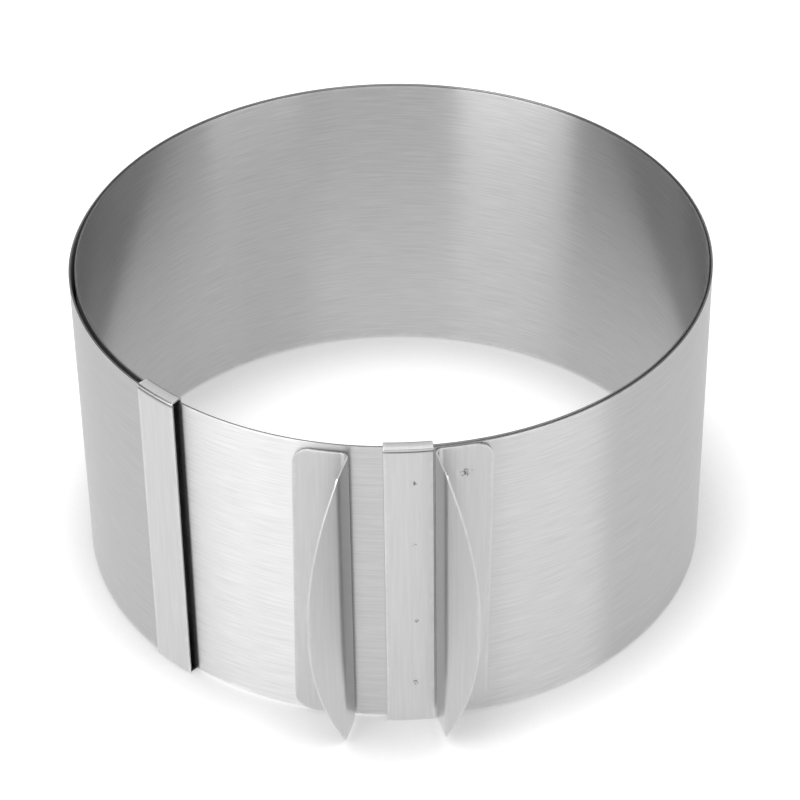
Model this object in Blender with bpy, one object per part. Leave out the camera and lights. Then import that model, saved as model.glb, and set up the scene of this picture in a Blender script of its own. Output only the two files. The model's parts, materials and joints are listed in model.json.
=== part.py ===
"""Adjustable cake ring of sprung steel strip.

The strip lies in two turns, and one slides round inside the other to set the ring's size.
Two guide clips fold over both edges of the strip and keep the turns together.
Two winged handles are welded on: the left one to the inner turn, the right one to the outer turn.

Metres, +Z up. Angles are in radians, from the front (-Y) towards the right (+X).
The origin lies in the plane that the ring stands on, under the middle of the whole outline.
"""
import math

import bmesh
import bpy

# The strip
CAKE_RADIUS = 0.0800          # inner face of the inner turn
BAND_HEIGHT = 0.0850
BAND_SHEET = 0.0005
SLIDE_GAP = 0.0003            # between the two turns, and between a turn and what slides on it
LEFT_STAND_OFF = 0.0007       # how much further the outer turn springs away at the left
STAND_OFF_START = math.radians(245.0)
STAND_OFF_FULL = math.radians(276.0)
SEAM_GAP = 0.0015             # between the two ends of the inner turn, behind the left clip

# The guide clips
CLIP_WIDTH = 0.0118
CLIP_SHEET = 0.0005
CLIP_BEND = 0.0010            # outside radius of a clip's folds
CLIP_LEG = 0.0090             # how far a clip's ends reach down and up inside the ring
FRONT_CLIP_LEFT = 0.0035      # from the middle of the front to the front clip's left edge
END_SETBACK = 0.0006          # the outer turn's ends stop this far inside the clips' edges

# The handles
HANDLE_SHEET = 0.0006
HANDLE_HEIGHT = 0.0830
WELD_GAP = 0.0003             # between a welded piece and the strip under it
FLANGE_WIDTH = 0.0139
FLANGE_CORNER = 0.0045
ROOT_BEND = 0.0015            # inside radius of the fold between flange and web
WEB_DEPTH = 0.0102            # from the strip's face to the fold between web and wing
WEB_LEAN = math.radians(8.0)
WING_BEND = 0.0010            # inside radius of the fold between web and wing
WING_DEPTH = 0.0109           # from that fold to the furthest point of the wing's bow
WING_LEAN = math.radians(42.0)
LEFT_HANDLE_RAISE = 0.0003    # a handle's lower edge above the strip's lower edge
RIGHT_HANDLE_RAISE = 0.0020
HANDLE_CLIP_GAP = 0.0003      # between the front clip and the right handle

# How far the left handle can slide along the strip
CLOSING_TRAVEL = 0.0079       # to the front clip, with the ring at its smallest
OPENING_TRAVEL = 0.0312       # to the left clip

# The shade and the roughness of each piece's steel
OUTER_BAND_STEEL = (0.60, 0.30)
INNER_BAND_STEEL = (0.58, 0.28)
FRONT_CLIP_STEEL = (0.66, 0.34)
LEFT_CLIP_STEEL = (0.62, 0.34)
HANDLE_STEEL = (0.64, 0.32)

# Fineness of the curves
FACET_ANGLE = math.radians(3.0)
CLIP_STEPS = 4
FOLD_STEPS = 4
CORNER_STEPS = 5
FLANGE_STEPS = 4
BOW_STEPS = 14
SHARP_ANGLE = math.radians(30.0)

# Places that follow from the sizes
FULL_TURN = 2.0 * math.pi
QUARTER_TURN = 0.5 * math.pi
INNER_FACE = CAKE_RADIUS + BAND_SHEET              # outer face of the inner turn
OUTER_SEAT = INNER_FACE + SLIDE_GAP                # inner face of the outer turn, where it lies close
OUTER_FACE = OUTER_SEAT + BAND_SHEET
BAND_LOW = CLIP_SHEET + SLIDE_GAP                  # the strip's lower edge lies on the clips' folds
BAND_MIDDLE = BAND_LOW + 0.5 * BAND_HEIGHT
CLIP_TOP = BAND_LOW + BAND_HEIGHT + SLIDE_GAP + CLIP_SHEET

FRONT_CLIP_START = -FRONT_CLIP_LEFT / OUTER_FACE
FRONT_CLIP_END = FRONT_CLIP_START + CLIP_WIDTH / OUTER_FACE
RIGHT_ROOT = FRONT_CLIP_END + HANDLE_CLIP_GAP / OUTER_FACE
LEFT_ROOT = FRONT_CLIP_START - CLOSING_TRAVEL / INNER_FACE
LEFT_CLIP_END = LEFT_ROOT - (FLANGE_WIDTH + OPENING_TRAVEL) / INNER_FACE
LEFT_CLIP_START = LEFT_CLIP_END - CLIP_WIDTH / OUTER_FACE
SEAM = 0.5 * (LEFT_CLIP_START + LEFT_CLIP_END)


def clear_scene():
    """Remove every object, so that the file holds only the cake ring."""
    for item in list(bpy.data.objects):
        bpy.data.objects.remove(item, do_unlink=True)


def steel(name, shade_and_roughness):
    """Stainless steel of one shade, as a material of its own."""
    shade, roughness = shade_and_roughness
    material = bpy.data.materials.new(name)
    material.use_nodes = True
    shader = material.node_tree.nodes["Principled BSDF"]
    shader.inputs["Base Color"].default_value = (shade, shade, shade, 1.0)
    shader.inputs["Metallic"].default_value = 1.0
    shader.inputs["Roughness"].default_value = roughness
    return material


def turning_point(name, parent=None):
    """An empty on the ring's axis, which the pieces of one body hang from."""
    empty = bpy.data.objects.new(name, None)
    bpy.context.scene.collection.objects.link(empty)
    empty.parent = parent
    return empty


def spread(start, end, steps):
    """Evenly spaced values from start to end, both included."""
    return [start + (end - start) * index / steps for index in range(steps + 1)]


def around(angle, radius):
    """Plan position at an angle from the front, towards the right."""
    return (radius * math.sin(angle), -radius * math.cos(angle))


def rising_surface(lower_edge):
    """A surface that rises from its lower edge to the same edge mirrored above the middle height."""
    surface = bmesh.new()
    corners = [surface.verts.new(point) for point in lower_edge]
    edges = [surface.edges.new(pair) for pair in zip(corners, corners[1:])]
    raised = bmesh.ops.extrude_edge_only(surface, edges=edges)["geom"]
    for item in raised:
        if isinstance(item, bmesh.types.BMVert):
            item.co.z = -item.co.z
    return surface


def sheet_piece(name, surface, thickness, material, turn):
    """A piece of sheet: the surface with the sheet's thickness, half to each side."""
    mesh = bpy.data.meshes.new(name)
    surface.to_mesh(mesh)
    surface.free()
    mesh.materials.append(material)
    mesh.shade_smooth()
    mesh.set_sharp_from_angle(angle=SHARP_ANGLE)
    piece = bpy.data.objects.new(name, mesh)
    bpy.context.scene.collection.objects.link(piece)
    piece.parent = turn
    sheet = piece.modifiers.new("sheet", "SOLIDIFY")
    sheet.thickness = thickness
    sheet.offset = 0.0
    sheet.use_even_offset = True
    return piece


def turn_of_strip(name, start, end, radius_at, material, turn):
    """One turn of the strip, standing on edge, from one angle to another."""
    angles = spread(start, end, math.ceil((end - start) / FACET_ANGLE))
    lower_edge = [(*around(angle, radius_at(angle)), -0.5 * BAND_HEIGHT) for angle in angles]
    piece = sheet_piece(name, rising_surface(lower_edge), BAND_SHEET, material, turn)
    piece.location.z = BAND_MIDDLE
    return piece


def inner_band(turn):
    """The inner turn, all the way round, with its two ends behind the left clip."""
    half_seam = 0.5 * SEAM_GAP / INNER_FACE

    def radius_at(angle):
        return CAKE_RADIUS + 0.5 * BAND_SHEET

    return turn_of_strip("inner_band", SEAM + half_seam, SEAM + FULL_TURN - half_seam,
                         radius_at, steel("inner_band_steel", INNER_BAND_STEEL), turn)


def outer_band(turn):
    """The outer turn, from the front clip round the right and the back to the left clip."""
    setback = END_SETBACK / OUTER_FACE

    def radius_at(angle):
        """The turn eases away from the inner one at the left, and stays away up to its end."""
        share = (angle - STAND_OFF_START) / (STAND_OFF_FULL - STAND_OFF_START)
        share = min(max(share, 0.0), 1.0)
        eased = 0.5 - 0.5 * math.cos(math.pi * share)
        return OUTER_SEAT + 0.5 * BAND_SHEET + LEFT_STAND_OFF * eased

    return turn_of_strip("outer_band", FRONT_CLIP_START + setback, LEFT_CLIP_END + FULL_TURN - setback,
                         radius_at, steel("outer_band_steel", OUTER_BAND_STEEL), turn)


def fold(centre, bend, first, last):
    """Points of a fold in a clip's cross-section, as (radius, height)."""
    return [(centre[0] + bend * math.cos(angle), centre[1] + bend * math.sin(angle))
            for angle in spread(first, last, FOLD_STEPS)]


def clip_section(strip_face):
    """Middle line of a clip's sheet: a wall outside, folded over both edges, with short ends inside."""
    half_sheet = 0.5 * CLIP_SHEET
    bend = CLIP_BEND - half_sheet
    leg = CAKE_RADIUS - SLIDE_GAP - half_sheet
    inner_centre = leg + bend
    outer_centre = strip_face + WELD_GAP + half_sheet - bend
    section = [(leg, CLIP_LEG)]
    section += fold((inner_centre, CLIP_BEND), bend, 2.0 * QUARTER_TURN, 3.0 * QUARTER_TURN)
    section += fold((outer_centre, CLIP_BEND), bend, 3.0 * QUARTER_TURN, 4.0 * QUARTER_TURN)
    section += fold((outer_centre, CLIP_TOP - CLIP_BEND), bend, 0.0, QUARTER_TURN)
    section += fold((inner_centre, CLIP_TOP - CLIP_BEND), bend, QUARTER_TURN, 2.0 * QUARTER_TURN)
    section += [(leg, CLIP_TOP - CLIP_LEG)]
    return section


def guide_clip(name, start, end, strip_face, material, turn):
    """A strip of sheet folded round both turns: its cross-section spun through the clip's width."""
    half_width = 0.5 * (end - start)
    surface = bmesh.new()
    corners = [surface.verts.new((*around(-half_width, radius), height))
               for radius, height in clip_section(strip_face)]
    edges = [surface.edges.new(pair) for pair in zip(corners, corners[1:])]
    bmesh.ops.spin(surface, geom=corners + edges, cent=(0.0, 0.0, 0.0), axis=(0.0, 0.0, 1.0),
                   angle=end - start, steps=CLIP_STEPS)
    clip = sheet_piece(name, surface, CLIP_SHEET, material, turn)
    clip.rotation_euler.z = start + half_width
    return clip


def flange_stations(middle, width):
    """The flange's plan line round the strip, from its free end, whose corners are rounded.

    A station is (along the strip, out from the axis, how much shorter the sheet is at each edge).
    """
    corner = [(FLANGE_CORNER * (1.0 - math.cos(angle)), FLANGE_CORNER * (1.0 - math.sin(angle)))
              for angle in spread(0.0, QUARTER_TURN, CORNER_STEPS)]
    straight = [(distance, 0.0) for distance in spread(FLANGE_CORNER, width, FLANGE_STEPS)[1:]]
    stations = []
    for distance, inset in corner + straight:
        across, away = around((distance - FLANGE_WIDTH) / middle, middle)
        stations.append((across, -away, inset))
    return stations


def handle_stations(strip_face):
    """The whole handle's plan line, with the flange at the left and the web's outer face at zero."""
    half_sheet = 0.5 * HANDLE_SHEET
    root_bend = ROOT_BEND + half_sheet
    wing_bend = WING_BEND + half_sheet
    middle = strip_face + WELD_GAP + half_sheet
    stations = flange_stations(middle, FLANGE_WIDTH - root_bend - half_sheet)

    # The fold at the root turns the sheet outwards, and a little back over the flange.
    heading = -(root_bend + half_sheet) / middle
    centre_across = stations[-1][0] - root_bend * math.sin(heading)
    centre_away = stations[-1][1] + root_bend * math.cos(heading)
    web_heading = QUARTER_TURN + WEB_LEAN
    for angle in spread(heading, web_heading, FOLD_STEPS)[1:]:
        stations.append((centre_across + root_bend * math.sin(angle),
                         centre_away - root_bend * math.cos(angle), 0.0))

    # The web runs straight to the fold of the wing.
    wing_heading = QUARTER_TURN + WING_LEAN
    folded = wing_heading - web_heading
    fold_point = strip_face + WEB_DEPTH - stations[-1][1]
    run = fold_point / math.sin(web_heading) - wing_bend * math.tan(0.5 * folded)
    across = stations[-1][0] + run * math.cos(web_heading)
    away = stations[-1][1] + run * math.sin(web_heading)
    stations.append((across, away, 0.0))

    # The wing's free edge is one arc, from the web's lower corner to its upper corner.
    half_height = 0.5 * HANDLE_HEIGHT
    bow_radius = (half_height ** 2 + WING_DEPTH ** 2) / (2.0 * WING_DEPTH)
    to_chord = bow_radius - WING_DEPTH

    def bow_inset(distance):
        return half_height - math.sqrt(bow_radius ** 2 - (to_chord + distance) ** 2)

    centre_across = across - wing_bend * math.sin(web_heading)
    centre_away = away + wing_bend * math.cos(web_heading)
    for angle in spread(web_heading, wing_heading, FOLD_STEPS)[1:]:
        inset = bow_inset(wing_bend * (angle - web_heading))
        stations.append((centre_across + wing_bend * math.sin(angle),
                         centre_away - wing_bend * math.cos(angle), inset))
    across, away, inset = stations[-1]
    fold_length = wing_bend * folded
    first = math.acos((to_chord + fold_length) / bow_radius)
    for angle in spread(first, first / (2.0 * BOW_STEPS), BOW_STEPS)[1:]:
        distance = bow_radius * math.cos(angle) - to_chord
        beyond = distance - fold_length
        stations.append((across + beyond * math.cos(wing_heading),
                         away + beyond * math.sin(wing_heading), bow_inset(distance)))
    return stations


def handle(name, root, side, strip_face, low, turn):
    """A winged handle: flange on the strip, web standing out, bowed wing. side is 1 left and -1 right."""
    half_height = 0.5 * HANDLE_HEIGHT
    lower_edge = [(side * across, -away, inset - half_height)
                  for across, away, inset in handle_stations(strip_face)]
    material = steel(name + "_steel", HANDLE_STEEL)
    piece = sheet_piece(name, rising_surface(lower_edge), HANDLE_SHEET, material, turn)
    piece.rotation_euler.z = root
    piece.location.z = low + half_height
    return piece


def centre_outline(axis, pieces):
    """Move the ring's axis so that the origin lies under the middle of the outline."""
    bpy.context.view_layer.update()
    graph = bpy.context.evaluated_depsgraph_get()
    corners = []
    for piece in pieces:
        shape = piece.evaluated_get(graph)
        corners += [shape.matrix_world @ vertex.co for vertex in shape.to_mesh().vertices]
        shape.to_mesh_clear()
    for place in (0, 1):
        values = [corner[place] for corner in corners]
        axis.location[place] = -0.5 * (min(values) + max(values))


def main():
    clear_scene()
    outer_turn = turning_point("outer_turn")
    inner_turn = turning_point("inner_turn", outer_turn)
    pieces = [
        outer_band(outer_turn),
        guide_clip("front_guide_clip", FRONT_CLIP_START, FRONT_CLIP_END, OUTER_FACE,
                   steel("front_guide_clip_steel", FRONT_CLIP_STEEL), outer_turn),
        guide_clip("left_guide_clip", LEFT_CLIP_START, LEFT_CLIP_END, OUTER_FACE + LEFT_STAND_OFF,
                   steel("left_guide_clip_steel", LEFT_CLIP_STEEL), outer_turn),
        handle("right_handle", RIGHT_ROOT, -1.0, OUTER_FACE, BAND_LOW + RIGHT_HANDLE_RAISE, outer_turn),
        inner_band(inner_turn),
        handle("left_handle", LEFT_ROOT, 1.0, INNER_FACE, BAND_LOW + LEFT_HANDLE_RAISE, inner_turn),
    ]
    centre_outline(outer_turn, pieces)


main()
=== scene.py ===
"""Adjustable cake ring of brushed stainless steel strip.

Two turns of strip, two guide clips folded round them and two winged handles, each made as one sheet
with rounded edges, on a white floor in soft studio light.
"""
import json
import math

import bmesh
import bpy
import numpy as np
from mathutils import Matrix

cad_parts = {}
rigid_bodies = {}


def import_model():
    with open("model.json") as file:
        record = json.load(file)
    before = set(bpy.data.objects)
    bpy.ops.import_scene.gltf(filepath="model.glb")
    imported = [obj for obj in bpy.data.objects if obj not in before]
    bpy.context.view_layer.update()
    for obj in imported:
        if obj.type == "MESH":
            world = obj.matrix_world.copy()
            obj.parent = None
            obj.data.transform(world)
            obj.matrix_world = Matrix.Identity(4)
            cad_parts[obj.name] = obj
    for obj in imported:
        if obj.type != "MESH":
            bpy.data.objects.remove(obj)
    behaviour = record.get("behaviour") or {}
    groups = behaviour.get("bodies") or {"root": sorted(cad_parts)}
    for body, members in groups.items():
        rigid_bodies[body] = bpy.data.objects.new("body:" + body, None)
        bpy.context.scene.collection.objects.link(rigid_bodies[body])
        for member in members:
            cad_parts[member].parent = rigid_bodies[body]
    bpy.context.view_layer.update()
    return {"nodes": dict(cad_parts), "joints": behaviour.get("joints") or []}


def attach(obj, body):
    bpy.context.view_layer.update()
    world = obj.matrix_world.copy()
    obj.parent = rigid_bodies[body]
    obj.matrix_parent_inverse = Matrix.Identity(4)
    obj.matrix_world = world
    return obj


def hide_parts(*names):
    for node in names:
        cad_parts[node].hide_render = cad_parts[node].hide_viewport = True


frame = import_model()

bl_info = {
    "name": "Adjustable cake ring",
    "version": (1, 0, 0),
    "blender": (4, 5, 0),
    "location": "3D View > Sidebar > Cake ring",
    "description": "Brushed steel strip, guide clips and winged handles, with their stage",
    "category": "Object",
}

AXIS = np.array(frame["joints"][0]["pos_m"][:2])
OUTER_BODY = "outer_turn"
INNER_BODY = "inner_turn"
GRAIN_MAP = "grain"
WELD_MARK = "weld_mark"
# Closeness to the edges: real wear, and also where painted shade goes on cut edges and in the clips'
# creases
WEAR_AND_PAINTED_SHADE = "wear_and_painted_shade"
FULL_TURN = 2.0 * math.pi
QUARTER_TURN = 0.5 * math.pi

# The order of what polar gives
BEARING, RADIUS, HEIGHT = range(3)


def polar(node):
    """A CAD node's corners as angle from the front towards the right, distance from the axis, height."""
    mesh = frame["nodes"][node].data
    points = np.empty(3 * len(mesh.vertices), dtype=np.float32)
    mesh.vertices.foreach_get("co", points)
    x, y, z = points.reshape(-1, 3).astype(float).T
    return np.arctan2(x - AXIS[0], AXIS[1] - y), np.hypot(x - AXIS[0], y - AXIS[1]), z


def lowest(node, place):
    """The lowest BEARING, RADIUS or HEIGHT of a CAD node."""
    return float(polar(node)[place].min())


def highest(node, place):
    """The highest BEARING, RADIUS or HEIGHT of a CAD node."""
    return float(polar(node)[place].max())


def length(name, default, description):
    """A size in metres."""
    return bpy.props.FloatProperty(name=name, description=description, default=default,
                                   min=0.0, precision=5, unit="LENGTH")


def angle(name, default, description):
    """An angle in radians."""
    return bpy.props.FloatProperty(name=name, description=description, default=default,
                                   precision=4, unit="ROTATION")


def share(name, default, description):
    """A share from 0 to 1."""
    return bpy.props.FloatProperty(name=name, description=description, default=default, min=0.0, max=1.0)


def level(name, default, description):
    """A plain number."""
    return bpy.props.FloatProperty(name=name, description=description, default=default)


def colour(name, default, description):
    """A linear colour."""
    return bpy.props.FloatVectorProperty(name=name, description=description, default=default,
                                         size=3, min=0.0, max=1.0, subtype="COLOR")


class StripSettings(bpy.types.PropertyGroup):
    """Sizes of the two turns of strip."""

    cake_radius: length("Cake radius", lowest("inner_band", RADIUS), "Axis to the inner turn's inner face")
    low: length("Lower edge", lowest("inner_band", HEIGHT), "Height of the strip's lower edge")
    high: length("Upper edge", highest("inner_band", HEIGHT), "Height of the strip's upper edge")
    sheet: length("Sheet", 0.0005, "Thickness of the strip")
    outer_seat: length("Outer seat", lowest("outer_band", RADIUS), "Axis to the outer turn's inner face")
    outer_reach: length("Outer reach", highest("outer_band", RADIUS), "Axis to the outer turn's outer face")
    stand_off_start: angle("Stand-off start", math.radians(245.0), "Where the outer turn leaves the inner")
    stand_off_full: angle("Stand-off full", math.radians(276.0), "Where it stands away in full")
    seam: length("Seam", 0.0015, "Gap between the inner turn's two ends, behind the left clip")
    setback: length("Setback", 0.0006, "How far the outer turn's ends stop inside the clips' edges")
    edge: length("Edge rounding", 0.00012, "Radius of the strip's edges")
    facet: angle("Facet", math.radians(1.0), "Angle between neighbouring rows of the round surface")


class ClipSettings(bpy.types.PropertyGroup):
    """Sizes of the guide clips."""

    sheet: length("Sheet", 0.0005, "Thickness of the clips' sheet")
    bend: length("Bend", 0.0008, "Outside radius of the folds")
    leg: length("Leg", 0.0090, "How far the ends reach down and up inside the ring")
    crease_drop: length("Crease drop", 0.00130, "From the clip's top to the crease under its upper fold")
    crease_width: length("Crease width", 0.00025, "Half the width of this crease")
    crease_depth: length("Crease depth", 0.00015, "Depth of this crease")
    bead: length("Bead", 0.00010, "How far the upper fold stands out over the wall under it")
    edge: length("Edge rounding", 0.00010, "Radius of the sheet's edges")
    weld_across: length("Weld place", 0.0074, "From the front clip's left edge to its row of welds")
    weld_radius: length("Weld radius", 0.0009, "Mean radius of the spot welds' dents")
    weld_depth: length("Weld depth", 0.00008, "Depth of a spot weld's dent")


class HandleSettings(bpy.types.PropertyGroup):
    """Sizes of the winged handles."""

    sheet: length("Sheet", 0.0006, "Thickness of the handles' sheet")
    gap: length("Weld gap", 0.0003, "Between the flange and the strip")
    flange: length("Flange", 0.0139, "Width of the flange on the strip")
    corner: length("Corner", 0.0045, "Radius of the flange's free corners")
    root_bend: length("Root bend", 0.0015, "Inside radius of the fold between flange and web")
    web: length("Web", 0.0102, "From the strip's face to the fold of the wing")
    web_lean: angle("Web lean", math.radians(8.0), "How far the web leans over its flange")
    wing_bend: length("Wing bend", 0.0035, "Inside radius of the fold between web and wing")
    wing: length("Wing", 0.01053, "From the fold's corner to the furthest point of the bow")
    wing_lean: angle("Wing lean", math.radians(42.0), "How far the wing leans over its flange")
    edge: length("Edge rounding", 0.00012, "Radius of the sheet's edges")
    blunt: length("Blunt", 0.00002, "How far the bow's furthest point is cut back")
    left_flare_top: level("Left flare, top", -0.00015, "Metres added to the left flange's top")
    left_flare_low: level("Left flare, foot", 0.00155, "Metres added to the left flange's foot")
    right_flare_top: level("Right flare, top", 0.00045, "Metres added to the right flange's top")
    right_flare_low: level("Right flare, foot", -0.0011, "Metres added to the right flange's foot")
    weld_across: length("Weld place", 0.0072, "From the right handle's root to its spot weld")
    weld_down: length("Weld height", 0.0079, "From the handle's upper edge down to its spot weld")
    weld_radius: length("Weld radius", 0.0016, "Radius of the spot weld's dent")
    weld_depth: length("Weld depth", 0.00010, "Depth of the spot weld's dent")


class FinishSettings(bpy.types.PropertyGroup):
    """Colours and brushing of the steel."""

    outer_colour: colour("Outer turn", (0.49, 0.49, 0.49), "Steel of the outer turn")
    inner_colour: colour("Inner turn", (0.49, 0.49, 0.49), "Steel of the inner turn")
    clip_colour: colour("Clips", (0.47, 0.47, 0.47), "Steel of the guide clips")
    handle_colour: colour("Handles", (0.44, 0.44, 0.44), "Steel of the handles")
    roughness: share("Roughness", 0.34, "Mean roughness of the brushed steel")
    strip_brushing: share("Strip brushing", 1.0, "How far light spreads across the strip's brush lines")
    sheet_brushing: share("Sheet brushing", 0.2, "How far it spreads across the clips' and handles' lines")
    strip_contrast: share("Strip contrast", 0.08, "How far the strip's brush lines differ in shade")
    sheet_contrast: share("Sheet contrast", 0.04, "How far the clips' and handles' lines differ in shade")
    weld_shade: share("Weld shade", 0.30, "Shade of a spot weld's pits beside the steel round them")
    wear: share("Edge wear", 0.12, "How much brighter the worn edges are")
    # Painted shade: how much darker the colour is made on the cut edges of the strip, clips and handles
    strip_edge_painted_shade: share("Strip's cut edge", 0.35, "Shade of the strip's cut edges beside its faces")
    clip_edge_painted_shade: share("Clips' cut edge", 1.0, "Shade of the clips' cut edges beside their faces")
    handle_edge_painted_shade: share("Handles' cut edge", 0.95, "Shade of the handles' cut edges beside their faces")
    # Painted shade: how much darker the colour is made in the clips' creases under the upper fold
    painted_shade_of_creases: share("Crease shade", 0.30, "Shade of the clips' creases beside their faces")


class StageSettings(bpy.types.PropertyGroup):
    """Camera, lamps, world and floor."""

    camera_height: length("Camera height", 0.5250, "Height of the camera above the floor")
    camera_distance: length("Camera distance", 0.6376, "Level distance from the ring's axis to the camera")
    camera_left: length("Camera left", 0.0058, "How far the camera stands left of the ring's axis")
    camera_pitch: angle("Camera pitch", math.radians(36.718), "How far the camera looks down")
    camera_roll: angle("Camera roll", math.radians(1.177), "How far the picture is turned")
    lens: level("Lens", 136.97, "Focal length in millimetres for a sensor 36 mm wide")
    shift_x: level("Shift X", 0.0361, "Sideways shift of the lens")
    shift_y: level("Shift Y", -0.0423, "Upward shift of the lens")
    world_level: level("World level", 0.06, "Strength of the grey surroundings")
    lamp_distance: length("Lamp distance", 1.0, "Level distance from the ring's axis to the lamps")
    key_level: level("Key level", 4.1, "Brightness of the tall lamp at the front left, where 1 is white")
    front_level: level("Front level", 2.35, "Brightness of the lamp above the camera, where 1 is white")
    right_level: level("Right level", 2.5, "Brightness of the low lamp at the right, where 1 is white")
    back_level: level("Back level", 1.2, "Brightness of the high lamp behind, where 1 is white")
    top_level: level("Top level", 1.6, "Brightness of the lamp overhead, where 1 is white")
    floor_radius: length("Floor radius", 4.0, "Radius of the round floor")
    slope_width: length("Slope width", 8.0, "Width of the white slope that rises round the floor")
    slope_height: length("Slope height", 1.8, "Height of the slope's outer edge")
    lamp_light: length("Lamp light", 0.4, "How far from the ring the lamps light the floor in full")
    floor_white: share("Floor white", 0.60, "Share of its light that the floor gives back")
    floor_glow: share("Floor glow", 0.62, "White that pictures and reflections of the floor add to its own")
    foot_shade: share("Foot shade", 0.38, "How much darker the floor is where the ring closes it in")
    foot_reach: length("Foot reach", 0.026, "How far from the ring this reaches")


# Rounded edges: angles round a side edge and round an end, and how far the flat rows keep from them
ROUND_STEPS = np.radians([0.0, 30.0, 60.0])
END_STEPS = np.radians([20.0, 45.0, 70.0, 90.0])
HOLD_SHARE = 0.8
END_REACHES = 2.0

# How finely each piece is divided, and how far the finer rows reach on both sides of a crease
PLACE_DIGITS = 7
STRIP_COLUMNS = 8
CLIP_COLUMNS = 12
CLIP_FOLD_STEPS = 10
CLIP_WALL_STEPS = 40
CLIP_LEG_STEPS = 5
CREASE_STEPS = 12
CREASE_REACHES = 2.0
HANDLE_COLUMNS = 40
CORNER_STEPS = 14
FLANGE_STEPS = 8
ROOT_STEPS = 12
WEB_STEPS = 6
WING_FOLD_STEPS = 10
BOW_STEPS = 24
FLARE_BENDS = 2.0
CLIP_DENT_STEPS = 20
HANDLE_DENT_STEPS = 24

# Spot welds: heights up the strip, sizes beside the mean one, finer rows, and the low rim round a dent
WELD_HEIGHT_SHARES = (0.884, 0.663, 0.378, 0.143)
WELD_SIZE_SHARES = (1.0, 0.8, 0.9, 1.2)
DENT_REACHES = 3.0
RIM_REACHES = 1.5
RIM_WIDTH_SHARE = 0.35
RIM_HEIGHT_SHARE = 0.3

# Brush lines of the steel: width and length of each kind, and how the broad ones join the fine ones
STRIP_LINE = (0.0004, 0.012)
SHEET_LINE = (0.0008, 0.020)
BROAD_WIDER = 9.0
BROAD_LONGER = 5.0
BROAD_SHARE = 0.1
LINE_SHARES = (0.3, 0.7)
LINE_DEPTH = 0.00002
BUMP_SHARE = 0.10
ROUGH_SPREAD = 0.02
NOISE_DETAIL = 2.0
NOISE_ROUGH_SHARE = 0.6

# Pits of the spot welds, worn edges, and painted shade on the cut edges
PIT_SIZE = 0.00055
PIT_MARK_SHARE = 0.5
PIT_SHARES = (0.84, 1.02)
WEAR_REACH = 0.0008
WEAR_STEPS = WEAR_REACH * np.array([0.4, 1.0, 2.0, 4.0])
WEAR_PATCH = 0.003
WEAR_SHARES = (0.85, 1.35)
EDGE_PAINTED_SHADE_SHARES = (0.90, 0.97)

# Lamps: left and right bearing from the front, lower and upper rise from level, all in degrees
LAMP_PLACES = {
    "key": (-70.0, -26.0, 3.0, 52.0),
    "front": (-26.0, 32.0, 27.0, 52.0),
    "right": (32.0, 68.0, 3.0, 27.0),
    "back": (150.0, 210.0, 32.0, 58.0),
}
TOP_LAMP_SHARE = 1.3

# Floor and camera
FLOOR_SIDES = 96
FOOT_SAMPLES = 8
FOOT_OPEN_SHARE = 0.5
SENSOR_WIDTH = 36.0
NEAREST_VIEW = 0.05
FURTHEST_VIEW = 20.0


def spread(start, end, steps):
    """Evenly spaced values from start to end, both included."""
    return np.linspace(start, end, steps + 1)


def even(value):
    """A function that gives one value at every place along a line."""
    return lambda along: np.full(along.shape, value)


def travel(points):
    """Distance along a line of points, from its start."""
    return np.concatenate([[0.0], np.cumsum(np.hypot(*np.diff(points, axis=0).T))])


def places_across(half_width, edge, steps):
    """Places over a sheet's width from -1 to 1, closer together near its edges, where wear shows."""
    hold = 1.0 - HOLD_SHARE * edge / half_width
    near = hold - WEAR_STEPS / half_width
    return np.unique(np.concatenate([[-1.0, 1.0], spread(-hold, hold, steps), -near, near]))


def close_by(values, centre, reach, steps):
    """Values with extra ones near a centre, so that a small dent there is finely divided."""
    finer = np.concatenate([values, spread(centre - reach, centre + reach, steps)])
    return np.unique(np.round(finer, PLACE_DIGITS))


def cross_section(across):
    """A sheet's rounded cross-section, over one face and back over the other, as four arrays.

    across holds places over the width from -1 to 1. With half width w, half thickness h and edge
    radius e, a point lies at width = core * (w - e) + out * e and offset = side * (h - e) + up * e.
    """
    low = np.full(len(ROUND_STEPS), -1.0)
    core = np.concatenate([low, across, -low])
    out = np.concatenate([-np.cos(ROUND_STEPS), np.zeros(len(across)), np.cos(ROUND_STEPS[::-1])])
    up = np.concatenate([np.sin(ROUND_STEPS), np.ones(len(across)), np.sin(ROUND_STEPS[::-1])])
    side = np.ones(len(core))
    return (np.concatenate([core, core[::-1]]), np.concatenate([out, out[::-1]]),
            np.concatenate([up, -up[::-1]]), np.concatenate([side, -side]))


def sheet_rows(points, edge):
    """Rows of a sheet along its plane middle line: place, unit normal, distance and edge radius.

    The normal points to the right of the way along the line. At both ends, four rows close together
    have edge radii that grow as a quarter circle does, so that the ends are rounded like the sides.
    """
    distance = travel(points)
    along = np.gradient(points, distance, axis=0)
    along = along / np.hypot(along[:, 0], along[:, 1])[:, None]
    ahead = edge * (1.0 - np.cos(END_STEPS))
    ahead = np.append(ahead, edge * (1.0 + HOLD_SHARE))
    radii = edge * np.append(np.sin(END_STEPS), 1.0)
    start = points[0] + ahead[:, None] * along[0]
    end = points[-1] - ahead[::-1, None] * along[-1]
    clear = END_REACHES * ahead[-1]
    inside = (distance > clear) & (distance < distance[-1] - clear)
    headings = np.concatenate([np.repeat(along[:1], len(ahead), axis=0), along[inside],
                               np.repeat(along[-1:], len(ahead), axis=0)])
    return (np.concatenate([start, points[inside], end]),
            np.stack([headings[:, 1], -headings[:, 0]], axis=1),
            np.concatenate([ahead, distance[inside], distance[-1] - ahead[::-1]]),
            np.concatenate([radii, np.full(int(inside.sum()), edge), radii[::-1]]))


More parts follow.
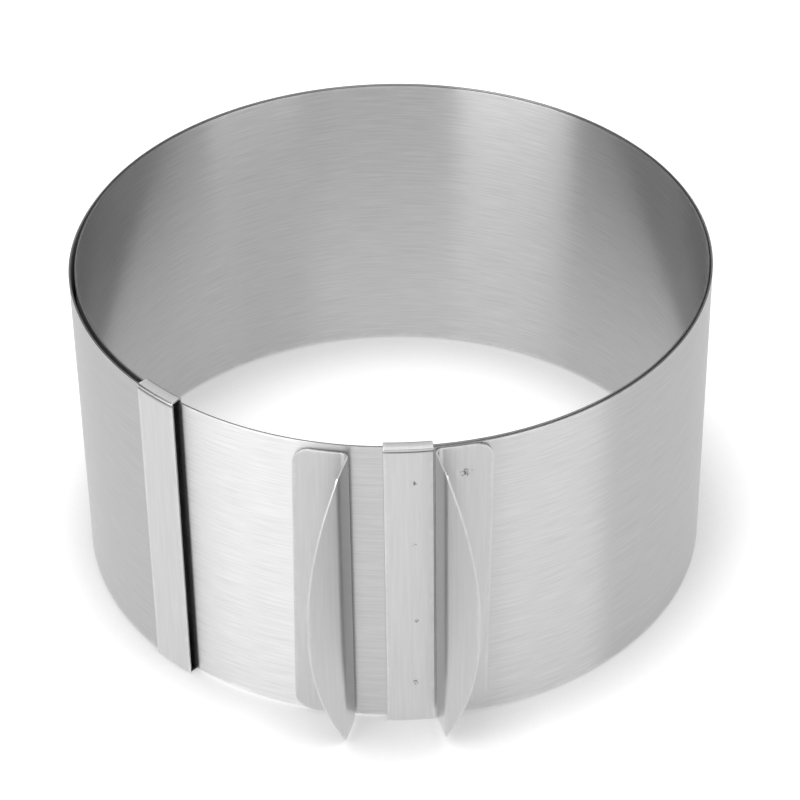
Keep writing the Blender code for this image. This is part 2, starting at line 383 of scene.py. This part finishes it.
def sheet_surface(points, half_width, across, thickness, edge, dents=()):
    """A sheet with rounded edges: its cross-section carried along a plane middle line.

    half_width gives the sheet's half width at distances along the line. dents are (distance, width
    coordinate, radius, depth, side): each moves the sheet by depth * exp(-(apart / radius) ** 2), less
    a low rim of the same form round it. Returns the place in the line's plane (rows, columns, 2), the
    width coordinate, the distance, the dents' mark and the closeness to the sheet's edges, each on the
    same grid.
    """
    place, normal, distance, radii = sheet_rows(points, edge)
    core, out, up, side = cross_section(across)
    wide = half_width(distance)[:, None]
    width = (wide - edge) * core + radii[:, None] * out
    offset = (0.5 * thickness - edge) * side + radii[:, None] * up
    distance = np.broadcast_to(distance[:, None], width.shape)
    mark = np.zeros(width.shape)
    for centre, height, radius, depth, face in dents:
        apart = np.hypot(distance - centre, width - height) / radius
        hollow = np.exp(-apart ** 2)
        rim = np.exp(-((apart - RIM_REACHES) / RIM_WIDTH_SHARE) ** 2)
        offset = offset - face * depth * (hollow - RIM_HEIGHT_SHARE * rim)
        mark = np.maximum(mark, hollow)
    inward = np.minimum(wide - np.abs(width), np.minimum(distance, distance.max() - distance))
    worn = np.exp(-np.maximum(inward, 0.0) / WEAR_REACH)
    return place[:, None, :] + offset[:, :, None] * normal[:, None, :], width, distance, mark, worn


def closed_mesh(name, x, y, z, grain_u, grain_v, mark, worn):
    """A mesh from a grid whose rows are closed loops, with both ends closed by quads across the sheet."""
    rows, columns = x.shape
    index = np.arange(rows * columns).reshape(rows, columns)
    after = np.roll(index, -1, axis=1)
    sides = np.stack([index[:-1], after[:-1], after[1:], index[1:]], axis=-1).reshape(-1, 4)
    half = columns // 2
    near = np.arange(half - 1)
    far = columns - 1 - near
    first = np.stack([index[0, near], index[0, far], index[0, far - 1], index[0, near + 1]], axis=-1)
    last = np.stack([index[-1, near], index[-1, near + 1], index[-1, far - 1], index[-1, far]], axis=-1)
    faces = np.concatenate([sides, first, last])
    mesh = bpy.data.meshes.new(name)
    mesh.from_pydata(np.stack([x, y, z], axis=-1).reshape(-1, 3).tolist(), [], faces.tolist())
    grain = mesh.uv_layers.new(name=GRAIN_MAP)
    corners = np.empty(len(mesh.loops), dtype=np.int32)
    mesh.loops.foreach_get("vertex_index", corners)
    uv = np.stack([grain_u.ravel(), grain_v.ravel()], axis=-1)
    grain.data.foreach_set("uv", uv[corners].astype(np.float32).ravel())
    for attribute, values in ((WELD_MARK, mark), (WEAR_AND_PAINTED_SHADE, worn)):
        mesh.attributes.new(attribute, "FLOAT", "POINT")
        mesh.attributes[attribute].data.foreach_set("value", values.astype(np.float32).ravel())
    surface = bmesh.new()
    surface.from_mesh(mesh)
    bmesh.ops.recalc_face_normals(surface, faces=surface.faces)
    surface.to_mesh(mesh)
    surface.free()
    mesh.shade_smooth()
    return mesh


def add_piece(name, mesh, material, body, node):
    """Put a finished piece on its CAD body in place of a CAD node."""
    mesh.materials.append(material)
    piece = bpy.data.objects.new(name, mesh)
    bpy.context.scene.collection.objects.link(piece)
    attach(piece, body)
    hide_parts(node)


def remove_old(name):
    """Remove the object, mesh or material of an earlier run of the same operator."""
    for store in (bpy.data.objects, bpy.data.meshes, bpy.data.materials, bpy.data.lights, bpy.data.cameras):
        item = store.get(name)
        if item is not None:
            store.remove(item)


def new_material(name):
    """A new material with nodes, in place of an earlier one of the same name, and its node tree."""
    remove_old(name)
    material = bpy.data.materials.new(name)
    material.use_nodes = True
    return material, material.node_tree


def combine(tree, kind, *sources):
    """A calculation of a kind on outputs and plain numbers."""
    node = tree.nodes.new("ShaderNodeMath")
    node.operation = kind
    for place, source in enumerate(sources):
        if isinstance(source, float):
            node.inputs[place].default_value = source
        else:
            tree.links.new(source, node.inputs[place])
    return node.outputs[0]


def ramp(tree, source, low, high, start, end):
    """An output carried from the range low to high onto start to end, and held past both."""
    remap = tree.nodes.new("ShaderNodeMapRange")
    remap.inputs["From Min"].default_value = low
    remap.inputs["From Max"].default_value = high
    remap.inputs["To Min"].default_value = start
    remap.inputs["To Max"].default_value = end
    tree.links.new(source, remap.inputs["Value"])
    return remap.outputs["Result"]


def brushed_steel(name, base, finish, brushing, contrast, cut, line_width, line_length):
    """Stainless steel with fine brush lines: long stretched noise in shade, roughness and height.

    The lines run along the grain map's V. Light spreads across them, along U, which the shader's
    tangent follows. A spot weld's mark breaks up into dark pits. The steel is a little brighter and
    smoother near its worn edges, and painted shade darkens its cut edges and the clips' creases.
    """
    material, tree = new_material(name)
    nodes, links = tree.nodes, tree.links
    shader = nodes["Principled BSDF"]
    shader.inputs["Metallic"].default_value = 1.0
    shader.inputs["Anisotropic"].default_value = brushing
    grain = nodes.new("ShaderNodeUVMap")
    grain.uv_map = GRAIN_MAP
    tangent = nodes.new("ShaderNodeTangent")
    tangent.direction_type = "UV_MAP"
    tangent.uv_map = GRAIN_MAP
    links.new(tangent.outputs["Tangent"], shader.inputs["Tangent"])

    def lines(width, run):
        stretch = nodes.new("ShaderNodeMapping")
        stretch.inputs["Scale"].default_value = (1.0 / width, 1.0 / run, 1.0)
        links.new(grain.outputs["UV"], stretch.inputs["Vector"])
        noise = nodes.new("ShaderNodeTexNoise")
        noise.noise_dimensions = "2D"
        noise.inputs["Scale"].default_value = 1.0
        noise.inputs["Detail"].default_value = NOISE_DETAIL
        noise.inputs["Roughness"].default_value = NOISE_ROUGH_SHARE
        links.new(stretch.outputs["Vector"], noise.inputs["Vector"])
        return noise.outputs["Fac"]

    def attribute(wanted):
        node = nodes.new("ShaderNodeAttribute")
        node.attribute_name = wanted
        return node.outputs["Fac"]

    fine = lines(line_width, line_length)
    broad = lines(BROAD_WIDER * line_width, BROAD_LONGER * line_length)
    broad_part = combine(tree, "MULTIPLY", broad, BROAD_SHARE)
    both = combine(tree, "MULTIPLY_ADD", fine, 1.0 - BROAD_SHARE, broad_part)
    tone = ramp(tree, both, *LINE_SHARES, 1.0 - contrast, 1.0 + contrast)
    specks = lines(PIT_SIZE, PIT_SIZE)
    marked = combine(tree, "MULTIPLY_ADD", attribute(WELD_MARK), PIT_MARK_SHARE, specks)
    pits = ramp(tree, marked, *PIT_SHARES, 1.0, finish.weld_shade)
    patches = lines(WEAR_PATCH, WEAR_PATCH)
    worn = ramp(tree, combine(tree, "ADD", attribute(WEAR_AND_PAINTED_SHADE), patches), *WEAR_SHARES, 0.0, 1.0)
    brighter = combine(tree, "MULTIPLY_ADD", worn, finish.wear, 1.0)
    # Painted shade: the colour is darkened on the cut edges, by the share given as cut
    painted_cut_edge_shade = ramp(tree, attribute(WEAR_AND_PAINTED_SHADE), *EDGE_PAINTED_SHADE_SHARES, 1.0, cut)
    # Painted shade in the clips' creases, where the wear values are below zero
    crease_painted_shade = ramp(tree, attribute(WEAR_AND_PAINTED_SHADE), -1.0, 0.0, finish.painted_shade_of_creases, 1.0)
    for factor in (brighter, pits, painted_cut_edge_shade, crease_painted_shade):
        tone = combine(tree, "MULTIPLY", tone, factor)
    tint = nodes.new("ShaderNodeVectorMath")
    tint.operation = "SCALE"
    tint.inputs[0].default_value = base
    links.new(tone, tint.inputs["Scale"])
    links.new(tint.outputs["Vector"], shader.inputs["Base Color"])

    smoothest, roughest = finish.roughness - ROUGH_SPREAD, finish.roughness + ROUGH_SPREAD
    rough = ramp(tree, fine, *LINE_SHARES, smoothest, roughest)
    links.new(combine(tree, "MULTIPLY_ADD", worn, -ROUGH_SPREAD, rough), shader.inputs["Roughness"])
    bump = nodes.new("ShaderNodeBump")
    bump.inputs["Strength"].default_value = BUMP_SHARE
    bump.inputs["Distance"].default_value = LINE_DEPTH
    links.new(fine, bump.inputs["Height"])
    links.new(bump.outputs["Normal"], shader.inputs["Normal"])
    return material


def strip_turn(name, start, end, middle_radius, strip, material, body, node):
    """One turn of strip: its middle line runs at middle_radius(angle) from the axis, from start to end."""
    angles = spread(start, end, math.ceil((end - start) / strip.facet))
    radius = middle_radius(angles)
    points = AXIS + np.stack([radius * np.sin(angles), -radius * np.cos(angles)], axis=1)
    half_height = 0.5 * (strip.high - strip.low)
    across = places_across(half_height, strip.edge, STRIP_COLUMNS)
    place, width, distance, mark, worn = sheet_surface(points, even(half_height), across,
                                                       strip.sheet, strip.edge)
    height = 0.5 * (strip.high + strip.low) + width
    remove_old(name)
    mesh = closed_mesh(name, place[..., 0], place[..., 1], height, height, distance, mark, worn)
    add_piece(name, mesh, material, body, node)


def clip_section(clip, low, high, leg_face, wall_face):
    """Middle line of a clip's sheet, as distance from the axis and height, folded over both edges.

    Each fold is a quarter circle round its centre. With b the height over the crease in widths of the
    crease, the wall is set back by bead * (1 - tanh(b)) / 2 + crease_depth * exp(-b ** 2).
    """
    half = 0.5 * clip.sheet
    bend = clip.bend - half
    leg = leg_face + half
    inner = leg + bend
    outer = wall_face - half - bend
    turn = spread(0.0, QUARTER_TURN, CLIP_FOLD_STEPS)

    def fold(centre_radius, centre_height, first):
        across = centre_radius + bend * np.cos(first + turn)
        return np.stack([across, centre_height + bend * np.sin(first + turn)], axis=1)

    crease = high - clip.crease_drop
    wall = spread(low + clip.bend, high - clip.bend, CLIP_WALL_STEPS)[1:-1]
    wall = close_by(wall, crease, CREASE_REACHES * clip.crease_width, CREASE_STEPS)
    beyond = (wall - crease) / clip.crease_width
    back = clip.bead * 0.5 * (1.0 - np.tanh(beyond)) + clip.crease_depth * np.exp(-beyond ** 2)
    leg_rise = spread(low + clip.leg, low + clip.bend, CLIP_LEG_STEPS)[:-1]
    leg_drop = spread(high - clip.bend, high - clip.leg, CLIP_LEG_STEPS)[1:]
    return np.concatenate([
        np.stack([np.full(len(leg_rise), leg), leg_rise], axis=1),
        fold(inner, low + clip.bend, 2.0 * QUARTER_TURN),
        fold(outer, low + clip.bend, 3.0 * QUARTER_TURN),
        np.stack([outer + bend - back, wall], axis=1),
        fold(outer, high - clip.bend, 0.0),
        fold(inner, high - clip.bend, QUARTER_TURN),
        np.stack([np.full(len(leg_drop), leg), leg_drop], axis=1),
    ])


def guide_clip(name, node, clip, material, weld_heights):
    """A guide clip: its section's sheet, with the width running round the ring's axis.

    The wear values are below zero in the crease, where the steel paints shade under the upper fold.
    """
    start, end = lowest(node, BEARING), highest(node, BEARING)
    low, high = lowest(node, HEIGHT), highest(node, HEIGHT)
    wall = highest(node, RADIUS)
    section = clip_section(clip, low, high, lowest(node, RADIUS), wall)
    half_width = 0.5 * (end - start) * wall
    across = places_across(half_width, clip.edge, CLIP_COLUMNS)
    dents = []
    if weld_heights:
        weld_width = clip.weld_across - half_width
        reach = DENT_REACHES * clip.weld_radius
        centre = weld_width / (half_width - clip.edge)
        across = close_by(across, centre, reach / half_width, CLIP_DENT_STEPS)
        # The wall's rows come closer together at the welds
        on_wall = section[:, 0] > wall - clip.sheet
        below = section[:int(np.argmax(on_wall))]
        above = section[len(section) - int(np.argmax(on_wall[::-1])):]
        out, heights = section[on_wall].T
        rows = heights
        for weld in weld_heights:
            rows = close_by(rows, weld, reach, CLIP_DENT_STEPS)
        finer = np.stack([np.interp(rows, heights, out), rows], axis=1)
        section = np.concatenate([below, finer, above])
        travelled = travel(section)[len(below):len(below) + len(finer)]
        for weld, size in zip(weld_heights, WELD_SIZE_SHARES):
            distance = float(np.interp(weld, rows, travelled))
            dents.append((distance, weld_width, clip.weld_radius * size, clip.weld_depth, 1.0))
    place, width, distance, mark, worn = sheet_surface(section, even(half_width), across,
                                                       clip.sheet, clip.edge, dents)
    # Painted shade in the crease under the upper fold: on the outer wall the wear values go below zero
    # there
    beyond = (place[..., 1] - high + clip.crease_drop) / clip.crease_width
    crease_painted_shade = np.where(place[..., 0] > wall - clip.sheet, np.exp(-beyond ** 2), 0.0)
    worn = worn * (1.0 - crease_painted_shade) - crease_painted_shade
    bearing = 0.5 * (start + end) + width / wall
    x = AXIS[0] + place[..., 0] * np.sin(bearing)
    y = AXIS[1] - place[..., 0] * np.cos(bearing)
    remove_old(name)
    mesh = closed_mesh(name, x, y, place[..., 1], width, distance, mark, worn)
    add_piece(name, mesh, material, OUTER_BODY, node)


def handle_line(handle, strip_face):
    """Middle line of a handle in plan, as places along and out from the axis, with the root at zero.

    The flange is an arc round the axis, each fold is an arc, and the web and the wing run straight.
    Returns the points, the distance along them at which the bow starts, in the middle of the wing's
    fold, and the distance from there to the bow's furthest point.
    """
    half = 0.5 * handle.sheet
    root_bend = handle.root_bend + half
    wing_bend = handle.wing_bend + half
    middle = strip_face + handle.gap + half
    width = handle.flange - root_bend - half
    turn = spread(0.0, QUARTER_TURN, CORNER_STEPS)
    level_run = spread(handle.corner, width, FLANGE_STEPS)[1:]
    run = np.concatenate([handle.corner * (1.0 - np.cos(turn)), level_run])
    bearing = (run - handle.flange) / middle
    flange = np.stack([middle * np.sin(bearing), middle * np.cos(bearing)], axis=1)
    heading = bearing[-1]
    web_heading = QUARTER_TURN + handle.web_lean
    wing_heading = QUARTER_TURN + handle.wing_lean
    turn = spread(heading, web_heading, ROOT_STEPS)[1:]
    centre = flange[-1] + root_bend * np.array([-np.sin(heading), np.cos(heading)])
    root = centre + root_bend * np.stack([np.sin(turn), -np.cos(turn)], axis=1)
    folded = wing_heading - web_heading
    rise = (strip_face + handle.web - root[-1, 1]) / math.sin(web_heading)
    rise -= wing_bend * math.tan(0.5 * folded)
    ahead = np.array([math.cos(web_heading), math.sin(web_heading)])
    web = root[-1] + spread(0.0, rise, WEB_STEPS)[1:, None] * ahead
    turn = spread(web_heading, wing_heading, WING_FOLD_STEPS)[1:]
    centre = web[-1] + wing_bend * np.array([-math.sin(web_heading), math.cos(web_heading)])
    fold = centre + wing_bend * np.stack([np.sin(turn), -np.cos(turn)], axis=1)
    ahead = np.array([math.cos(wing_heading), math.sin(wing_heading)])
    straight = handle.wing - handle.blunt - wing_bend * math.tan(0.5 * folded)
    run = straight * np.sin(spread(0.0, QUARTER_TURN, BOW_STEPS)[1:])
    wing = fold[-1] + run[:, None] * ahead
    before = np.concatenate([flange, root, web])
    half_fold = 0.5 * wing_bend * folded
    bow_start = float(travel(before)[-1]) + half_fold
    return np.concatenate([before, fold, wing]), bow_start, half_fold + straight + handle.blunt


def handle_half_width(handle, half_height, bow_start, bow_depth):
    """Half the handle's height at distances along it: rounded flange corners, then the wing's bow.

    The bow is an arc through the fold's two ends, and its depth is the arc's rise.
    """
    bow_radius = (half_height ** 2 + bow_depth ** 2) / (2.0 * bow_depth)

    def half_width(distance):
        short = np.clip(handle.corner - distance, 0.0, handle.corner)
        corner_inset = handle.corner - np.sqrt(handle.corner ** 2 - short ** 2)
        past = np.clip(distance - bow_start, 0.0, bow_depth)
        bow = np.sqrt(np.maximum(bow_radius ** 2 - (bow_radius - bow_depth + past) ** 2, 0.0))
        return np.minimum(half_height - corner_inset, bow)

    return half_width


def winged_handle(name, node, side, root, strip_face, handle, flare, material, body, weld):
    """A winged handle, side 1 with its flange to the left and -1 to the right of its root.

    flare gives how much wider the flange is at its top and at its foot: each point of the flange turns
    about the ring's axis by a share of it that grows evenly from near the root to the free edge.
    """
    low, high = lowest(node, HEIGHT), highest(node, HEIGHT)
    half_height = 0.5 * (high - low)
    points, bow_start, bow_depth = handle_line(handle, strip_face)
    half_width = handle_half_width(handle, half_height, bow_start, bow_depth)
    across = places_across(half_height, handle.edge, HANDLE_COLUMNS)
    dents = []
    if weld:
        weld_width = half_height - handle.weld_down
        weld_distance = handle.flange - handle.weld_across
        reach = DENT_REACHES * handle.weld_radius
        across = close_by(across, weld_width / half_height, reach / half_height, HANDLE_DENT_STEPS)
        travelled = travel(points)
        closer = close_by(travelled, weld_distance, reach, HANDLE_DENT_STEPS)
        points = np.stack([np.interp(closer, travelled, line) for line in points.T], axis=1)
        dents.append((weld_distance, weld_width, handle.weld_radius, handle.weld_depth, -1.0))
    place, width, distance, mark, worn = sheet_surface(points, half_width, across,
                                                       handle.sheet, handle.edge, dents)
    up = 0.5 + 0.5 * width / half_height
    flared = handle.flange - FLARE_BENDS * handle.root_bend
    outward = np.clip(1.0 - distance / flared, 0.0, 1.0)
    radius = np.hypot(place[..., 0], place[..., 1])
    bearing = np.arctan2(place[..., 0], place[..., 1])
    bearing -= outward * (flare[1] + up * (flare[0] - flare[1])) / radius
    sideways = side * radius * np.sin(bearing)
    away = radius * np.cos(bearing)
    x = AXIS[0] + sideways * math.cos(root) + away * math.sin(root)
    y = AXIS[1] + sideways * math.sin(root) - away * math.cos(root)
    height = 0.5 * (low + high) + width
    remove_old(name)
    mesh = closed_mesh(name, x, y, height, distance, height, mark, worn)
    add_piece(name, mesh, material, body, node)


class CAKERING_OT_turns(bpy.types.Operator):
    """Make the inner and the outer turn of the strip"""

    bl_idname = "cakering.turns"
    bl_label = "Turns of strip"

    def execute(self, context):
        strip = context.scene.cakering_strip
        finish = context.scene.cakering_finish
        left_start, left_end = lowest("left_guide_clip", BEARING), highest("left_guide_clip", BEARING)
        seam = 0.5 * (left_start + left_end)
        half_seam = 0.5 * strip.seam / strip.cake_radius
        look = (finish, finish.strip_brushing, finish.strip_contrast, finish.strip_edge_painted_shade, *STRIP_LINE)
        inner = brushed_steel("inner_turn_steel", finish.inner_colour, *look)
        outer = brushed_steel("outer_turn_steel", finish.outer_colour, *look)

        def outer_radius(angles):
            eased = strip.stand_off_full - strip.stand_off_start
            stand = np.clip((angles - strip.stand_off_start) / eased, 0.0, 1.0)
            room = strip.outer_reach - strip.outer_seat - strip.sheet
            return strip.outer_seat + 0.5 * strip.sheet + room * (0.5 - 0.5 * np.cos(math.pi * stand))

        inner_radius = even(strip.cake_radius + 0.5 * strip.sheet)
        strip_turn("inner_turn_strip", seam + half_seam, seam + FULL_TURN - half_seam, inner_radius,
                   strip, inner, INNER_BODY, "inner_band")
        setback = strip.setback / strip.outer_reach
        start = lowest("front_guide_clip", BEARING) + setback
        strip_turn("outer_turn_strip", start, left_end + FULL_TURN - setback, outer_radius,
                   strip, outer, OUTER_BODY, "outer_band")
        return {"FINISHED"}


class CAKERING_OT_clips(bpy.types.Operator):
    """Make the two guide clips, the front one with its row of spot welds"""

    bl_idname = "cakering.clips"
    bl_label = "Guide clips"

    def execute(self, context):
        clip = context.scene.cakering_clip
        finish = context.scene.cakering_finish
        strip = context.scene.cakering_strip
        steel = brushed_steel("clip_steel", finish.clip_colour, finish, finish.sheet_brushing,
                              finish.sheet_contrast, finish.clip_edge_painted_shade, *SHEET_LINE)
        tall = strip.high - strip.low
        welds = [strip.low + tall * place for place in WELD_HEIGHT_SHARES]
        guide_clip("front_clip_sheet", "front_guide_clip", clip, steel, welds)
        guide_clip("left_clip_sheet", "left_guide_clip", clip, steel, [])
        return {"FINISHED"}


class CAKERING_OT_handles(bpy.types.Operator):
    """Make the two winged handles, the right one with its spot weld"""

    bl_idname = "cakering.handles"
    bl_label = "Winged handles"

    def execute(self, context):
        handle = context.scene.cakering_handle
        strip = context.scene.cakering_strip
        finish = context.scene.cakering_finish
        steel = brushed_steel("handle_steel", finish.handle_colour, finish, finish.sheet_brushing,
                              finish.sheet_contrast, finish.handle_edge_painted_shade, *SHEET_LINE)
        left_flare = (handle.left_flare_top, handle.left_flare_low)
        right_flare = (handle.right_flare_top, handle.right_flare_low)
        winged_handle("left_handle_sheet", "left_handle", 1.0, highest("left_handle", BEARING),
                      strip.cake_radius + strip.sheet, handle, left_flare, steel, INNER_BODY, False)
        winged_handle("right_handle_sheet", "right_handle", -1.0, lowest("right_handle", BEARING),
                      strip.outer_seat + strip.sheet, handle, right_flare, steel, OUTER_BODY, True)
        return {"FINISHED"}


def white_floor(name, stage):
    """A white floor that keeps a soft shadow, with a glow on top that only pictures and reflections see.

    In pictures only, both turn darker where the ring closes the floor in: a painted shadow, as a soft dark
    rim round its foot.
    Past the reach of the lamps the glow grows to plain white.
    """
    material, tree = new_material(name)
    nodes, links = tree.nodes, tree.links
    nodes.clear()
    closed_in = nodes.new("ShaderNodeAmbientOcclusion")
    closed_in.samples = FOOT_SAMPLES
    closed_in.inputs["Distance"].default_value = stage.foot_reach
    ray = nodes.new("ShaderNodeLightPath").outputs
    # Painted shadow: in pictures only, ambient occlusion darkens the floor's colour and glow round the
    # ring's foot
    darker = ramp(tree, closed_in.outputs["AO"], FOOT_OPEN_SHARE, 1.0, -stage.foot_shade, 0.0)
    shaded = combine(tree, "MULTIPLY_ADD", darker, ray["Is Camera Ray"], 1.0)

    seen = combine(tree, "MAXIMUM", ray["Is Camera Ray"], ray["Is Glossy Ray"])
    seen = combine(tree, "MAXIMUM", seen, ray["Is Transmission Ray"])
    place = nodes.new("ShaderNodeTexCoord")
    away = nodes.new("ShaderNodeVectorMath")
    away.operation = "LENGTH"
    links.new(place.outputs["Object"], away.inputs[0])
    unlit = stage.lamp_light + stage.lamp_distance
    glow = ramp(tree, away.outputs["Value"], stage.lamp_light, unlit, stage.floor_glow, 1.0)
    glow = combine(tree, "MULTIPLY", combine(tree, "MULTIPLY", seen, glow), shaded)

    plain = nodes.new("ShaderNodeBsdfDiffuse")
    links.new(combine(tree, "MULTIPLY", shaded, stage.floor_white), plain.inputs["Color"])
    shine = nodes.new("ShaderNodeEmission")
    links.new(glow, shine.inputs["Strength"])
    both = nodes.new("ShaderNodeAddShader")
    links.new(plain.outputs["BSDF"], both.inputs[0])
    links.new(shine.outputs["Emission"], both.inputs[1])
    output = nodes.new("ShaderNodeOutputMaterial")
    links.new(both.outputs["Shader"], output.inputs["Surface"])
    return material


class CAKERING_OT_stage(bpy.types.Operator):
    """Make the floor, the lamps, the surroundings and the camera"""

    bl_idname = "cakering.stage"
    bl_label = "Stage"

    def execute(self, context):
        stage = context.scene.cakering_stage
        self.floor(stage)
        self.world(context, stage)
        for name, edges in LAMP_PLACES.items():
            self.side_lamp(name + "_lamp", stage, *edges, getattr(stage, name + "_level"))
        self.top_lamp(stage)
        self.camera(context, stage)
        return {"FINISHED"}

    def floor(self, stage):
        """A flat round floor, far wider than the ring, with a slope round it that hides the horizon."""
        remove_old("floor")
        mesh = bpy.data.meshes.new("floor")
        surface = bmesh.new()
        bmesh.ops.create_circle(surface, cap_ends=True, segments=FLOOR_SIDES, radius=stage.floor_radius)
        raised = bmesh.ops.extrude_edge_only(surface, edges=surface.edges[:])["geom"]
        corners = [part for part in raised if isinstance(part, bmesh.types.BMVert)]
        wider = 1.0 + stage.slope_width / stage.floor_radius
        bmesh.ops.scale(surface, verts=corners, vec=(wider, wider, 1.0))
        bmesh.ops.translate(surface, verts=corners, vec=(0.0, 0.0, stage.slope_height))
        surface.to_mesh(mesh)
        surface.free()
        mesh.materials.append(white_floor("floor_white", stage))
        floor = bpy.data.objects.new("floor", mesh)
        bpy.context.scene.collection.objects.link(floor)

    def world(self, context, stage):
        """Even grey surroundings."""
        world = bpy.data.worlds.new("surroundings")
        world.use_nodes = True
        background = world.node_tree.nodes["Background"]
        background.inputs["Color"].default_value = (1.0, 1.0, 1.0, 1.0)
        background.inputs["Strength"].default_value = stage.world_level
        context.scene.world = world

    def lamp(self, name, width, tall, brightness, matrix):
        """A rectangular lamp, whose power is pi times its area times its brightness."""
        remove_old(name)
        light = bpy.data.lights.new(name, "AREA")
        light.shape = "RECTANGLE"
        light.size = width
        light.size_y = tall
        light.energy = math.pi * width * tall * brightness
        lamp = bpy.data.objects.new(name, light)
        lamp.matrix_world = matrix
        bpy.context.scene.collection.objects.link(lamp)

    def side_lamp(self, name, stage, left, right, low, high, brightness):
        """An upright lamp that faces the ring's axis, between two bearings and two rises in degrees."""
        bearing = math.radians(0.5 * (left + right))
        foot = stage.lamp_distance * math.tan(math.radians(low))
        head = stage.lamp_distance * math.tan(math.radians(high))
        width = 2.0 * stage.lamp_distance * math.tan(math.radians(0.5 * (right - left)))
        place = (AXIS[0] + stage.lamp_distance * math.sin(bearing),
                 AXIS[1] - stage.lamp_distance * math.cos(bearing), 0.5 * (foot + head))
        turn = Matrix.Rotation(bearing, 4, "Z") @ Matrix.Rotation(QUARTER_TURN, 4, "X")
        self.lamp(name, width, head - foot, brightness, Matrix.Translation(place) @ turn)

    def top_lamp(self, stage):
        """A level square lamp over the ring's axis, as high above the floor as the others are away."""
        side = TOP_LAMP_SHARE * stage.lamp_distance
        place = (AXIS[0], AXIS[1], stage.lamp_distance)
        self.lamp("top_lamp", side, side, stage.top_level, Matrix.Translation(place))

    def camera(self, context, stage):
        """The camera at the photograph's angle: pitched down, turned slightly, with a small shift."""
        remove_old("camera")
        view = bpy.data.cameras.new("camera")
        view.lens = stage.lens
        view.sensor_width = SENSOR_WIDTH
        view.shift_x = stage.shift_x
        view.shift_y = stage.shift_y
        view.clip_start = NEAREST_VIEW
        view.clip_end = FURTHEST_VIEW
        camera = bpy.data.objects.new("camera", view)
        place = (AXIS[0] - stage.camera_left, AXIS[1] - stage.camera_distance, stage.camera_height)
        pitch = Matrix.Rotation(QUARTER_TURN - stage.camera_pitch, 4, "X")
        roll = Matrix.Rotation(-stage.camera_roll, 4, "Z")
        camera.matrix_world = Matrix.Translation(place) @ pitch @ roll
        context.scene.collection.objects.link(camera)
        context.scene.camera = camera
        context.scene.view_settings.view_transform = "Standard"


class CAKERING_PT_panel(bpy.types.Panel):
    """The cake ring's pieces and stage, one button each"""

    bl_label = "Cake ring"
    bl_idname = "CAKERING_PT_panel"
    bl_space_type = "VIEW_3D"
    bl_region_type = "UI"
    bl_category = "Cake ring"

    def draw(self, context):
        for operator in PIECE_OPERATORS:
            self.layout.operator(operator.bl_idname)
        for name, group in SETTINGS.items():
            box = self.layout.box()
            settings = getattr(context.scene, name)
            for size in group.__annotations__:
                box.prop(settings, size)


SETTINGS = {
    "cakering_strip": StripSettings,
    "cakering_clip": ClipSettings,
    "cakering_handle": HandleSettings,
    "cakering_finish": FinishSettings,
    "cakering_stage": StageSettings,
}
PIECE_OPERATORS = (CAKERING_OT_turns, CAKERING_OT_clips, CAKERING_OT_handles, CAKERING_OT_stage)


def register():
    for name, group in SETTINGS.items():
        bpy.utils.register_class(group)
        setattr(bpy.types.Scene, name, bpy.props.PointerProperty(type=group))
    for operator in PIECE_OPERATORS:
        bpy.utils.register_class(operator)
    bpy.utils.register_class(CAKERING_PT_panel)


def unregister():
    bpy.utils.unregister_class(CAKERING_PT_panel)
    for operator in reversed(PIECE_OPERATORS):
        bpy.utils.unregister_class(operator)
    for name, group in reversed(list(SETTINGS.items())):
        delattr(bpy.types.Scene, name)
        bpy.utils.unregister_class(group)


def main():
    register()
    bpy.ops.cakering.turns()
    bpy.ops.cakering.clips()
    bpy.ops.cakering.handles()
    bpy.ops.cakering.stage()


if __name__ == "__main__":
    main()
